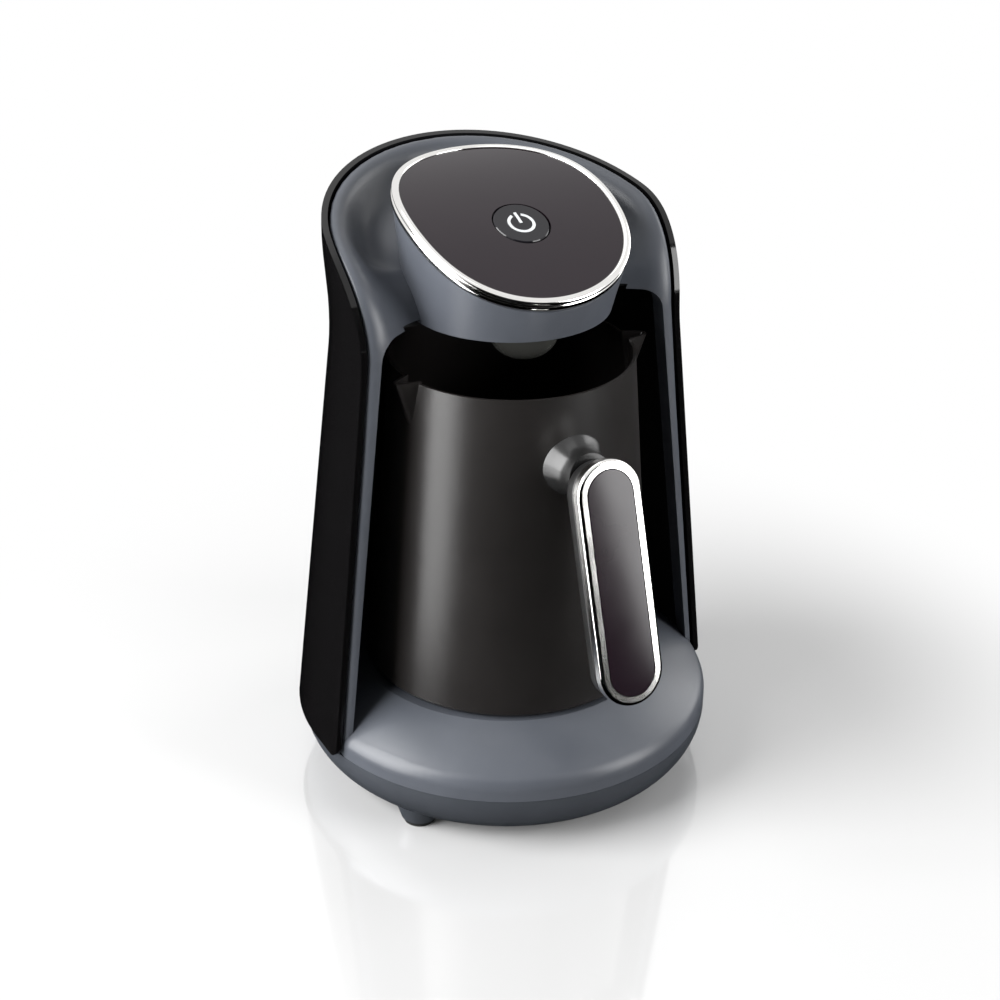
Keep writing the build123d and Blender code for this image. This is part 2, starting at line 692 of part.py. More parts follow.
def make_thermal_cutout():
    """Button thermostat with two tabs, held against the underside of the clamp."""
    x = ELEMENT_RING_R - ELEMENT_TUBE_R
    top = CLAMP_Z - CLAMP_T - FIT
    body = disc(CUTOUT_R, top - 5, top, x, 0) + disc(CUTOUT_R + 1, top - 1.0, top, x, 0)
    for side in (-1, 1):
        tab_y = side * CUTOUT_R * 0.4
        body += block(x - 3.2, x + 3.2, tab_y - 0.4, tab_y + 0.4, top - 10, top - 4.5)
    return body


# ---------------------------------------------------------------- power board


BOARD_TOP_Z = POWER_BOARD_Z + BOARD_T


def make_power_board():
    """Mains board on four posts in the tub."""
    board = block(
        -POWER_BOARD_X / 2,
        POWER_BOARD_X / 2,
        POWER_BOARD_SHIFT - POWER_BOARD_Y / 2,
        POWER_BOARD_SHIFT + POWER_BOARD_Y / 2,
        POWER_BOARD_Z,
        BOARD_TOP_Z,
    )
    for x, y in board_corners:
        board -= disc(SCREW_R + SEAM, 0, FAR, x, y)
    return board


def make_board_screws():
    """Four screws into the tub's posts."""
    top = BOARD_TOP_Z + SCREW_HEAD_H + FIT
    return Compound([screw(SCREW_SHORT, top, x, y) for x, y in board_corners])


def make_power_relay():
    """Sealed relay that switches the element."""
    z = BOARD_TOP_Z + FIT
    right = -POWER_BOARD_X / 6
    back = POWER_BOARD_SHIFT + POWER_BOARD_Y / 2 - POST_R
    case = block(right - RELAY_X, right, back - RELAY_Y, back, z + 0.6, z + RELAY_Z)
    case = chamfer(case.edges().group_by(Axis.Z)[-1], 0.6)
    for x in (right - RELAY_X + 2, right - 2):
        case += block(x - 0.6, x + 0.6, back - RELAY_Y / 2 - 1, back - RELAY_Y / 2 + 1, z, z + 1)
    return case


def make_transformer():
    """Small transformer: laminated core and two wound bobbin halves."""
    z = BOARD_TOP_Z + FIT
    left = POWER_BOARD_X / 6
    back = POWER_BOARD_SHIFT + POWER_BOARD_Y / 2 - POST_R - CORE_LEG
    front = back - CORE_Y
    middle = left + CORE_X / 2
    core = block(left, left + CORE_X, front, back, z, z + CORE_Z)
    window = block(left + CORE_LEG, left + CORE_X - CORE_LEG, front - 1, back + 1, z + 3, z + CORE_Z - 3)
    core -= window
    core += block(middle - 1.5, middle + 1.5, front, back, z + 2, z + CORE_Z - 2)
    bobbin_x = CORE_X / 2 - CORE_LEG - 0.2
    bobbin = block(middle - bobbin_x, middle + bobbin_x, front - 3.5, back + 3.5, z + 3.2, z + CORE_Z - 3.2)
    return core + bobbin


def make_filter_capacitor():
    """Boxed mains filter capacitor."""
    z = BOARD_TOP_Z + FIT
    back = POWER_BOARD_SHIFT + POWER_BOARD_Y / 2 - POST_R
    box = block(-CAPACITOR_X / 2, CAPACITOR_X / 2, back - CAPACITOR_Y, back, z, z + CAPACITOR_Z)
    return fillet(box.edges().filter_by(Axis.Z), 1.2)


def make_terminal_block():
    """Screw terminals for the mains lead."""
    z = BOARD_TOP_Z + FIT
    left = -POWER_BOARD_X / 2 + 4
    front = POWER_BOARD_SHIFT - POWER_BOARD_Y / 4
    body = block(left, left + 3 * TERMINAL_PITCH, front, front + TERMINAL_Y, z, z + TERMINAL_Z)
    for i in range(3):
        x = left + (i + 0.5) * TERMINAL_PITCH
        body -= disc(1.7, z + TERMINAL_Z / 3, z + 2 * TERMINAL_Z, x, front + TERMINAL_Y / 2)
        body -= Pos(x, front, z + TERMINAL_Z / 3) * Rot(90, 0, 0) * Cylinder(1.3, TERMINAL_Y / 2)
    return body


# ---------------------------------------------------------------- shell and frame


def below_tip():
    """What the round on the shell's lower front corners takes away."""
    y = edge_y(SHELL_FOOT_Z)
    back, top = y + SHELL_TIP_R, SHELL_FOOT_Z + SHELL_TIP_R
    corner = side_prism((-FAR, 0), (back, 0), (back, top), (-FAR, top))
    return corner - Pos(0, back, top) * Rot(0, 90, 0) * Cylinder(SHELL_TIP_R, FAR)


def make_outer_shell():
    """Gloss wall round the back and sides, with two screw bosses at its foot."""
    wall = inside_shell(0) - inside_shell(SHELL_WALL)
    shell = (wall & behind_edges()) - below_tip()
    inner = inside_shell(SHELL_WALL / 2)
    for x, y in shell_bosses:
        boss = disc(POST_R + 1, SHELL_FOOT_Z, SHELL_FOOT_Z + SCREW_LONG + 2, x, y)
        web = Pos(x * 1.04, y * 1.04, SHELL_FOOT_Z + 4) * Rot(0, 0, degrees(atan(y / x))) * Box(7, 3, 8)
        shell += (boss + web) & inner
        shell -= disc(SCREW_R + FIT, 0, SHELL_FOOT_Z + SCREW_LONG, x, y)
    return shell


def make_shell_screws():
    """Two screws up through the tub into the shell's bosses."""
    top = PARTING_Z - 4 - SCREW_HEAD_H
    return Compound([screw(SCREW_LONG, top, x, y, head_down=True) for x, y in shell_bosses])


def shell_inside_radius(z, inset):
    """Radius of the shell's profile line, moved inwards, at any height."""
    if z < SHELL_KNEE_Z:
        return shell_radius(z) - inset
    curve = shell_line(inset)[1]
    low, high = 0.0, 1.0
    for _ in range(24):
        middle = (low + high) / 2
        if (curve @ middle).Y < z:
            low = middle
        else:
            high = middle
    return (curve @ low).X


def rim_places():
    """Side view of the shell's edge from foot to back: place (y, z) and outward direction."""
    front_turn = atan((EDGE_TOP_Y - EDGE_FOOT_Y) / (EDGE_TOP_Z - PARTING_Z))
    rim_turn = atan((RIM_BACK_Z - EDGE_TOP_Z) / (SHELL_TOP_R - EDGE_TOP_Y))
    swing = pi / 2 - front_turn - rim_turn
    reach = RIM_CORNER_R * tan(swing / 2)
    start = (EDGE_TOP_Y - reach * sin(front_turn), EDGE_TOP_Z - reach * cos(front_turn))
    end = (EDGE_TOP_Y + reach * cos(rim_turn), EDGE_TOP_Z + reach * sin(rim_turn))
    out = (-cos(front_turn), sin(front_turn))
    middle = (start[0] - out[0] * RIM_CORNER_R, start[1] - out[1] * RIM_CORNER_R)
    places = []
    for share in (0.0, 0.25, 0.5, 0.75):
        z = FLANGE_FOOT_Z + share * (start[1] - FLANGE_FOOT_Z)
        places.append(((edge_y(z), z), out))
    for i in range(RIM_STEPS):
        turn = pi - front_turn - swing * i / RIM_STEPS
        way = (cos(turn), sin(turn))
        places.append(((middle[0] + RIM_CORNER_R * way[0], middle[1] + RIM_CORNER_R * way[1]), way))
    up = (-sin(rim_turn), cos(rim_turn))
    back_y = shell_inside_radius(RIM_BACK_Z, FRAME_IN)
    first = asin(end[0] / back_y)
    for i in range(RIM_STEPS + 1):
        y = back_y * sin(first + (pi / 2 - first) * i / RIM_STEPS)
        places.append(((y, end[1] + (y - end[0]) * tan(rim_turn)), up))
    return places


def frame_sections():
    """Closed sections of the frame's front, from one foot round the back to the other."""
    sections = []
    for (y, z), out in rim_places():
        radius = shell_inside_radius(z, FRAME_IN)
        round_y = max(y, 0.0)
        x = sqrt(max(radius**2 - round_y**2, 0.0))
        front = min(max((DISH_FROM_Y - y) / (DISH_FROM_Y - EDGE_TOP_Y), 0.0), 1.0)
        front = front**2 * (3 - 2 * front)
        points = []
        for inward, dish, bead in FRAME_SECTION:
            points.append((inward, dish + front * (bead - dish)))
        points.append((points[-1][0], -FRAME_DEPTH))
        points.append((0.0, -FRAME_DEPTH))
        sections.append(
            [(x * (1 - a / radius), y - round_y * a / radius + h * out[0], z + h * out[1]) for a, h in points]
        )
    mirrored = [[(-x, y, z) for x, y, z in points] for points in reversed(sections[:-1])]
    return sections + mirrored


def frame_body():
    """Beads up both front edges that open out into the dished hood."""
    faces = []
    for points in frame_sections():
        front = Spline(*points[:-2])
        rest = Polyline(points[-3], points[-2], points[-1], points[0])
        faces.append(make_face(front + rest))
    return loft(faces, ruled=True)


def make_hood_frame():
    """Satin frame in one moulding: two front beads, the dished hood and the head's wall."""
    body = (frame_body() & inside_shell(LINER_GAP)) - bay(0)
    body -= bay(BAY_WALL + SEAM) & side_prism(
        (edge_y(0) + FLANGE_DEPTH, 0),
        (FAR, 0),
        (FAR, FAR),
        (EDGE_TOP_Y + LIP, FAR),
        (EDGE_TOP_Y + LIP, BAY_TOP_Z),
        (edge_y(BAY_TOP_Z) + FLANGE_DEPTH, BAY_TOP_Z),
    )
    low_back = side_prism(
        (edge_y(0) + FLANGE_DEPTH, 0),
        (FAR, 0),
        (FAR, BAY_TOP_Z - 2),
        (edge_y(BAY_TOP_Z) + FLANGE_DEPTH, BAY_TOP_Z - 2),
    )
    body -= low_back
    body -= under_cover(-SEAM, PLATE_R)

    column = head_column(0) & panel_drum(PANEL_T + FIT)
    ring_seat = panel_prism(RING_FACE + 1, -3 * RING_H, RING_H) - panel_prism(0, -4 * RING_H, 2 * RING_H)
    column -= ring_seat - panel_drum(RING_H - RING_PROUD)
    frame = body + column

    hollow = head_column(HEAD_WALL) & side_prism(
        (-FAR, BAY_TOP_Z - 5), (FAR, BAY_TOP_Z - 5), (FAR, FAR), (-FAR, FAR)
    )
    frame -= hollow
    frame -= disc(HEAD_FOOT_R - HEAD_WALL, BAY_TOP_Z - 5, BAY_TOP_Z + 1)
    for x, y in cover_posts:
        post = disc(POST_R + 0.8, BAY_TOP_Z + HEAD_COVER_T + FIT, BAY_TOP_Z + 9, x, y)
        frame += post & head_column(HEAD_WALL / 2)
        frame -= disc(SCREW_R + FIT, 0, BAY_TOP_Z + 8, x, y)
    behind_bay = BAY_BACK_TOP_Y + 1
    duct_top = BAY_TOP_Z + 14
    duct = block(loom_x - 7, loom_x + 7, HEAD_FOOT_R - 10, behind_bay, BAY_TOP_Z + BAY_WALL + 1, duct_top)
    duct += block(loom_x - 7, loom_x + 7, behind_bay, FAR, BAY_TOP_Z - 5, duct_top)
    return frame - (duct & inside_shell(LINER_GAP + 2))


def make_bay_liner():
    """Dark liner of the pot's bay: sides, leaning back and ceiling."""
    liner = bay(BAY_WALL) - bay(0)
    liner &= side_prism((EDGE_TOP_Y + 5, 0), (FAR, 0), (FAR, FAR), (EDGE_TOP_Y + 5, FAR))
    front = side_prism(
        (edge_y(0) + FLANGE_DEPTH + SEAM, 0),
        (FAR, 0),
        (FAR, FAR),
        (edge_y(FAR) + FLANGE_DEPTH + SEAM, FAR),
    )
    liner &= front
    liner -= under_cover(-SEAM, PLATE_R)
    liner -= block(-FAR, FAR, -FAR, FAR, -FAR, CREASE_Z)
    return liner - disc(HEAD_FOOT_R + BAY_WALL, BAY_TOP_Z - 5, FAR)


# ---------------------------------------------------------------- head


loom_x = 18.0
cover_posts = ring_places(HEAD_FOOT_R - HEAD_WALL - POST_R, [90, 210, 330])


def make_chrome_ring():
    """Bright ring that frames the panel and follows its curve, grooved round its side."""
    inside = panel_prism(FIT, -4 * RING_H, 2 * RING_H)
    band = panel_prism(RING_FACE, -3 * RING_H, RING_H) - inside
    ring = band & (panel_drum(-RING_PROUD) - panel_drum(RING_H - RING_PROUD - FIT))
    side = panel_prism(RING_FACE + 1, -4 * RING_H, 2 * RING_H)
    side -= panel_prism(RING_FACE - RING_GROOVE, -5 * RING_H, 3 * RING_H)
    groove_top = RING_H / 2 - RING_PROUD - RING_GROOVE
    return ring - (side & (panel_drum(groove_top) - panel_drum(groove_top + RING_GROOVE)))


def button_disc(radius, bottom, top):
    """Cylinder square to the panel at the button."""
    return button_plane * Pos(0, 0, (bottom + top) / 2) * Cylinder(radius, top - bottom)


def button_tube(outer, inner, bottom, top):
    """Tube square to the panel at the button."""
    return button_disc(outer, bottom, top) - button_disc(inner, bottom - 1, top + 1)


def make_top_panel():
    """Curved gloss panel with a round hole for the button."""
    panel = panel_prism(-SEAM, -3 * RING_H, RING_H) & (panel_drum(0) - panel_drum(PANEL_T))
    return panel - button_disc(BUTTON_R + BUTTON_GROOVE, -10, 10)


def power_symbol(depth):
    """Open circle with an upright bar, cut from the button's face down to a depth."""
    inner = SYMBOL_R - SYMBOL_LINE / 2
    outer = SYMBOL_R + SYMBOL_LINE / 2
    circle = button_tube(outer, inner, -depth, 1)
    opening = Polyline((0, 0), (-5, 12), (5, 12), close=True)
    circle -= extrude(button_plane * make_face(opening), amount=5, both=True)
    bar_length = outer + SYMBOL_LINE / 2
    bar = Pos(0, bar_length / 2, (1 - depth) / 2) * Box(SYMBOL_LINE, bar_length, 1 + depth)
    return (circle + button_plane * bar) & button_disc(BUTTON_R, -depth, 0)


def make_power_button():
    """Button cap with its stem, retained behind the panel."""
    cap = button_disc(BUTTON_R, -BUTTON_T, 0)
    cap = chamfer(cap.edges().filter_by(GeomType.CIRCLE).sort_by(Axis.Z)[-1], 0.3)
    skirt = button_disc(BUTTON_R + 1.6, -BUTTON_T - 2.2, -BUTTON_T - 1.0) + button_disc(
        BUTTON_R - 1.0, -BUTTON_T - 1.4, -BUTTON_T + 0.5
    )
    stem = button_disc(STEM_R, -SWITCH_TOP + FIT, -BUTTON_T)
    return cap + skirt + stem - power_symbol(SYMBOL_T + FIT)


SWITCH_TOP = BOARD_DROP - SWITCH_H - 1.0


def make_power_symbol():
    """Milky light guide set into the button's face."""
    symbol = power_symbol(SYMBOL_T)
    return Compound(symbol.solids())


def make_switch_plunger():
    """Small plunger of the push switch, which travels with the button's stem."""
    return button_disc(1.6, -BOARD_DROP + SWITCH_H - 0.6, -SWITCH_TOP - FIT)


def make_button_carrier():
    """Plastic carrier under the panel: a wall, a guide for the stem and three board posts."""
    carrier = button_tube(CARRIER_R, CARRIER_R - CARRIER_WALL, -CARRIER_DEPTH, BUTTON_T)
    carrier += button_disc(CARRIER_R, -CARRIER_DEPTH, -CARRIER_DEPTH + 1.8)
    carrier += button_disc(STEM_R + 2.2, -CARRIER_DEPTH - 1.6, -CARRIER_DEPTH + 3.4)
    carrier -= button_disc(STEM_R + GAP, -30, 5)
    post_h = BOARD_DROP - CARRIER_DEPTH + 0.9
    for x, y in carrier_posts:
        middle = (-CARRIER_DEPTH - BOARD_DROP) / 2 + 0.5
        carrier += button_plane * Pos(x, y, middle) * Cylinder(CARRIER_POST_R, post_h)
        carrier -= button_plane * Pos(x, y, -BOARD_DROP) * Cylinder(SCREW_R * 0.7 + FIT, 2 * SCREW_SHORT - 2)
    return carrier & panel_drum(PANEL_T + SEAM)


carrier_posts = [
    (
        CARRIER_POST_RING_R * sin(radians(a)),
        CONTROL_BOARD_SHIFT - BUTTON_SHIFT + CARRIER_POST_RING_R * cos(radians(a)),
    )
    for a in (0, 120, 240)
]


def on_board(x, y, bottom, top, radius):
    """Round thing square to the control board; heights are measured from the board's top."""
    return button_plane * Pos(x, y, -BOARD_DROP + (bottom + top) / 2) * Cylinder(radius, top - bottom)


def make_control_board():
    """Round board under the button."""
    shift = CONTROL_BOARD_SHIFT - BUTTON_SHIFT
    board = on_board(0, shift, -BOARD_T - FIT, -FIT, CONTROL_BOARD_R)
    for x, y in carrier_posts:
        board -= on_board(x, y, -5, 5, SCREW_R * 0.7 + SEAM)
    return board


def make_control_screws():
    """Three small screws up through the board into the carrier."""
    screws = []
    for x, y in carrier_posts:
        head = on_board(x, y, -BOARD_T - 1.6, -BOARD_T - 2 * FIT, SCREW_R * 1.5)
        shank = on_board(x, y, -BOARD_T - 1.0, SCREW_SHORT - 2.5, SCREW_R * 0.7)
        screws.append(head + shank)
    return Compound(screws)


def make_push_switch():
    """Push switch body with a well for its plunger."""
    body = button_plane * Pos(0, 0, -BOARD_DROP + SWITCH_H / 2) * Box(SWITCH_W, SWITCH_W, SWITCH_H)
    return body - on_board(0, 0, SWITCH_H - 2.0, SWITCH_H + 1, 1.6 + GAP)


def make_control_chip():
    """Controller package with its lead frame."""
    middle = button_plane * Pos(12, 12, -BOARD_DROP + 0.95)
    legs = middle * Pos(0, 0, -0.6)
    return middle * Box(7, 7, 1.4) + legs * Box(8.6, 5.6, 0.5) + legs * Box(5.6, 8.6, 0.5)


def make_buzzer():
    """Round sounder with its port."""
    body = on_board(-13, 13, 0.05, 5.0, 6.0)
    return body - on_board(-13, 13, 3.5, 6, 1.0)


def make_status_lamps():
    """Two lamps beside the switch that light the symbol."""
    lamps = []
    for x in (-6.5, 6.5):
        lamps.append(on_board(x, 0, 0.05, 3.0, 1.5) + on_board(x, 0, 0.05, 0.8, 1.9))
    return Compound(lamps)


def make_head_cover():
    """Dark plate that closes the head from below."""
    cover = disc(HEAD_FOOT_R - HEAD_WALL - SEAM, BAY_TOP_Z, BAY_TOP_Z + HEAD_COVER_T)
    for x, y in cover_posts:
        cover -= disc(SCREW_R + SEAM, 0, FAR, x, y)
        cover -= disc(SCREW_HEAD_R + SEAM, 0, BAY_TOP_Z + SCREW_HEAD_H - 0.4, x, y)
    return cover - disc(4.0, 0, FAR, 0, NOSE_Y)


def make_head_screws():
    """Three screws up through the head's cover."""
    top = BAY_TOP_Z - 0.4 - FIT
    return Compound([screw(SCREW_SHORT, top, x, y, head_down=True) for x, y in cover_posts])


def nose_dome(wall):
    """Blunt dome under the head, moved in by a wall."""
    radius = NOSE_R - wall
    low = BAY_TOP_Z - NOSE_H + wall
    shoulder = (radius * 0.93, low + NOSE_H * 0.45)
    side = Spline((radius, BAY_TOP_Z), shoulder, (0, low), tangents=[(0, -1), (-1, 0)])
    rest = Polyline((0, low), (0, BAY_TOP_Z), (radius, BAY_TOP_Z))
    return Pos(0, NOSE_Y, 0) * turned(side, rest)


def make_sensor_nose():
    """Translucent nose over the sensor that watches the rising foam."""
    nose = nose_dome(0) - nose_dome(NOSE_WALL)
    return nose - disc(FAR, BAY_TOP_Z - FIT, FAR)


def make_foam_sensor():
    """Emitter and receiver on a small board inside the nose."""
    z = BAY_TOP_Z - FIT
    sensor = disc(8.0, z - 1.4, z, 0, NOSE_Y)
    for x in (-3.4, 3.4):
        sensor += disc(2.2, z - 6.0, z - 1, x, NOSE_Y)
    return sensor


def make_wire_loom():
    """Loom from the power board, up behind the bay and forward into the head."""
    low = BOARD_TOP_Z + 6
    high = BAY_TOP_Z + 8
    route = [
        (loom_x + 10, POWER_BOARD_SHIFT + POWER_BOARD_Y / 2 - POST_R, low),
        (loom_x + 4, BAY_BACK_FOOT_Y + 7, low + 4),
        (loom_x, BAY_BACK_FOOT_Y + 6, low + 34),
        (loom_x, BAY_BACK_TOP_Y + 6.0, high - 26),
        (loom_x, BAY_BACK_TOP_Y + 5.4, high),
        (loom_x, HEAD_FOOT_R - 10, high),
    ]
    path = FilletPolyline(*route, radius=LOOM_BEND_R)
    return sweep(Plane(origin=path @ 0, z_dir=path % 0) * Circle(LOOM_R), path=path)


# ---------------------------------------------------------------- pot and handle


def spout_section(wall, z):
    """Teardrop through a spout at a height, moved in by a wall."""
    foot_reach = pot_radius(POT_RIM_Z - SPOUT_DROP)
    share = (z - POT_RIM_Z + SPOUT_DROP) / SPOUT_DROP
    reach = foot_reach + share * (SPOUT_REACH - foot_reach)
    tip = Pos(reach - SPOUT_TIP_R, 0, z) * Circle(SPOUT_TIP_R - wall)
    root = Pos(POT_RIM_R - SPOUT_ROOT_IN, 0, z) * Circle(SPOUT_R - wall)
    return make_hull(tip.edges() + root.edges())


def pot_skin(wall):
    """Outside of the pot moved in by a wall, with a beaked spout on each side."""
    foot_z = POT_FOOT_Z + (POT_FLOOR_H + POT_WALL if wall else 0)
    top_z = POT_RIM_Z + (5 if wall else 0)
    skin = turned_polygon(
        (0, foot_z),
        (pot_radius(foot_z) - wall - 1.5, foot_z),
        (pot_radius(foot_z + 1.5) - wall, foot_z + 1.5),
        (pot_radius(top_z) - wall, top_z),
        (0, top_z),
    )
    spout_top = top_z if wall > 0 else POT_RIM_Z + SPOUT_RISE
    spout = loft([spout_section(wall, POT_RIM_Z - SPOUT_DROP), spout_section(wall, spout_top)], ruled=True)
    for turn in (-SPOUT_TURN, 180 + SPOUT_TURN):
        skin += Rot(0, 0, turn) * spout
    return Pos(0, POT_Y, 0) * skin


def make_pot_body():
    """Spun pot, wider at its foot, with a spout on each side and a rolled rim."""
    pot = pot_skin(0) - pot_skin(POT_WALL)
    recess = disc(POT_RECESS_R, POT_FOOT_Z - 1, POT_FOOT_Z + POT_FLOOR_H, 0, POT_Y)
    return pot - recess


def make_pot_base_disc():
    """Steel heat spreader pressed into the pot's foot."""
    base = disc(POT_RECESS_R - FIT, POT_FOOT_Z, POT_FOOT_Z + POT_FLOOR_H - FIT, 0, POT_Y)
    return chamfer(base.edges().group_by(Axis.Z)[0], 0.5)


def along_neck(radius, y_front, y_back):
    """Cylinder along Y on the handle's neck line."""
    middle = Pos(0, (y_front + y_back) / 2, NECK_Z)
    return middle * Rot(90, 0, 0) * Cylinder(radius, y_back - y_front)


POT_WALL_Y = POT_Y - pot_radius(NECK_Z)


def make_handle_boss():
    """Flared black boss that carries the handle on the pot's wall."""
    neck_y = POT_WALL_Y - 7.0
    side = Spline(
        (BOSS_R, 3.0 + POT_WALL_Y),
        (NECK_R + 0.8, POT_WALL_Y - 3.0),
        (NECK_R, neck_y),
        tangents=[(-0.5, -1), (0, -1)],
    )
    rest = Polyline(
        (NECK_R, neck_y),
        (NECK_R, HANDLE_TOP_Y),
        (0, HANDLE_TOP_Y),
        (0, 3.0 + POT_WALL_Y),
        (BOSS_R, 3.0 + POT_WALL_Y),
    )
    boss = revolve(make_face(side + rest), Axis.Y)
    boss = Pos(0, 0, NECK_Z) * boss
    boss -= pot_skin(-FIT)
    boss -= slot_prism(2 * HANDLE_L, 3 * HANDLE_W, -FAR / 3, FRAME_T + BACK_T + FIT)
    boss -= along_neck(STUD_R + FIT, POT_WALL_Y - STUD_L - 1.0, POT_WALL_Y + 5)
    return boss - along_neck(2.1, -FAR / 3, 0)


def make_pot_stud():
    """Threaded steel stud welded to the pot's wall."""
    stud = along_neck(STUD_R, POT_WALL_Y - STUD_L, POT_WALL_Y + 2)
    stud -= pot_skin(-FIT / 2)
    return stud - along_neck(2.05, POT_WALL_Y - STUD_L - 1, POT_WALL_Y - 2)


def make_handle_shell():
    """Satin back half of the handle, which fills the bright frame from behind."""
    back = slot_prism(HANDLE_L - 2 * BACK_IN, HANDLE_W - 2 * BACK_IN, FRAME_T + FIT, FRAME_T + BACK_T)
    back = fillet(back.faces().sort_by(Axis.Y)[-1].edges(), 2.4)
    core = slot_prism(INSERT_L - 2 * FIT, INSERT_W - 2 * FIT, INSERT_T + FIT, FRAME_T + 1)
    shell = back + core
    shell -= along_neck(3.9, -FAR / 3, SCREW_SEAT_Y)
    return shell - along_neck(2.1, -FAR / 3, 0)


SCREW_SEAT_Y = HANDLE_TOP_Y + 4.0


def make_handle_frame():
    """Bright frame round the handle's front."""
    frame = slot_prism(HANDLE_L, HANDLE_W, 0, FRAME_T)
    frame = fillet(frame.faces().sort_by(Axis.Y)[0].edges(), FRAME_ROUND)
    return frame - slot_prism(INSERT_L, INSERT_W, -1, FRAME_T + 1)


def make_handle_insert():
    """Gloss insert set into the frame's front."""
    insert = slot_prism(INSERT_L - 2 * FIT, INSERT_W - 2 * FIT, 0, INSERT_T)
    return fillet(insert.faces().sort_by(Axis.Y)[0].edges(), 0.5)


def make_handle_screw():
    """Screw from under the insert, through the neck, into the stud."""
    head = along_neck(3.5, SCREW_SEAT_Y - 2.4, SCREW_SEAT_Y - FIT)
    shank = along_neck(2.0, SCREW_SEAT_Y - 1, POT_WALL_Y - 3)
    return head + shank - along_neck(1.2, SCREW_SEAT_Y - 3, SCREW_SEAT_Y - 1.2)


# ---------------------------------------------------------------- save the nodes

nodes = {
    "base_tub": make_base_tub,
    "foot_pads": make_foot_pads,
    "base_cover": make_base_cover,
    "base_screws": make_base_screws,
    "cord_inlet": make_cord_inlet,
    "hot_plate": make_hot_plate,
    "plate_seal": make_plate_seal,
    "heating_element": make_heating_element,
    "element_clamp": make_element_clamp,
    "clamp_screws": make_clamp_screws,
    "sensor_plunger": make_sensor_plunger,
    "plunger_spring": make_plunger_spring,
    "plunger_housing": make_plunger_housing,
    "thermal_cutout": make_thermal_cutout,
    "power_board": make_power_board,
    "board_screws": make_board_screws,
    "power_relay": make_power_relay,
    "mains_transformer": make_transformer,
    "filter_capacitor": make_filter_capacitor,
    "terminal_block": make_terminal_block,
    "outer_shell": make_outer_shell,
    "shell_screws": make_shell_screws,
    "hood_frame": make_hood_frame,
    "bay_liner": make_bay_liner,
    "chrome_ring": make_chrome_ring,
    "top_panel": make_top_panel,
    "power_button": make_power_button,
    "power_symbol": make_power_symbol,
    "switch_plunger": make_switch_plunger,
    "button_carrier": make_button_carrier,
    "control_board": make_control_board,
    "control_screws": make_control_screws,
    "push_switch": make_push_switch,
    "control_chip": make_control_chip,
    "buzzer": make_buzzer,
    "status_lamps": make_status_lamps,
    "head_cover": make_head_cover,
    "head_screws": make_head_screws,
    "sensor_nose": make_sensor_nose,
    "foam_sensor": make_foam_sensor,
    "wire_loom": make_wire_loom,
    "pot_body": make_pot_body,
    "pot_base_disc": make_pot_base_disc,
    "pot_stud": make_pot_stud,
    "handle_boss": make_handle_boss,
    "handle_shell": make_handle_shell,
    "handle_frame": make_handle_frame,
    "handle_insert": make_handle_insert,
    "handle_screw": make_handle_screw,
}

os.makedirs("parts", exist_ok=True)
for name, make in nodes.items():
    save(name, make())
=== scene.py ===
import math

import bmesh
import bpy
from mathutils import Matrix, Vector


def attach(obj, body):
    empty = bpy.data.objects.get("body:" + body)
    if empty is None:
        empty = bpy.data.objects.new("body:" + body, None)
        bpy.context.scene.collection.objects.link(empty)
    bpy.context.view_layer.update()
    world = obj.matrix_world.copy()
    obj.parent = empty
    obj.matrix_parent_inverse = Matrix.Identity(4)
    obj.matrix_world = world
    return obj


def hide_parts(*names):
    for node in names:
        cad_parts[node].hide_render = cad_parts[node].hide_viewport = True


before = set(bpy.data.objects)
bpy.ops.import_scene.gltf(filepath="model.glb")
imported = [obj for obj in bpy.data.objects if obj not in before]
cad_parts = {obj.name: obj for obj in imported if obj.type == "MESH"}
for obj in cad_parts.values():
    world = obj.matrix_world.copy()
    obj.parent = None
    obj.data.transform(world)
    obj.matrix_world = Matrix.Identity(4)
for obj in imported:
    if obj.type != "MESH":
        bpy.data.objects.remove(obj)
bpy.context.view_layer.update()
MM = 0.001

# ---------------------------------------------------------------- base tub and its feet
# The bowl that the machine stands on is one moulding in grey ABS with a fine spark texture.
# Its four conical feet are part of it, and a rubber pad with a peg is pressed into each of them.

TUB_GREY = (0.042, 0.047, 0.056, 1)
PAD_BLACK = (0.012, 0.012, 0.012, 1)


def add(finish, kind, **values):
    """A shader node in this finish or in the world, with these values on its sockets."""
    node = finish.node_tree.nodes.new("ShaderNode" + kind)
    for socket, value in values.items():
        node.inputs[socket.replace("_", " ")].default_value = value
    return node


def wire(finish, out, into):
    """A link from one socket to another, in a finish or in the world."""
    finish.node_tree.links.new(out, into)


def plain(name, colour, roughness, metal=0.0, reflects=0.5):
    """A finish with only its own colour, gloss and metal: the start of every other one."""
    finish = bpy.data.materials.new(name)
    finish.use_nodes = True
    surface = finish.node_tree.nodes["Principled BSDF"]
    surface.inputs["Base Color"].default_value = colour
    surface.inputs["Roughness"].default_value = roughness
    surface.inputs["Metallic"].default_value = metal
    surface.inputs["Specular IOR Level"].default_value = reflects
    return finish, surface


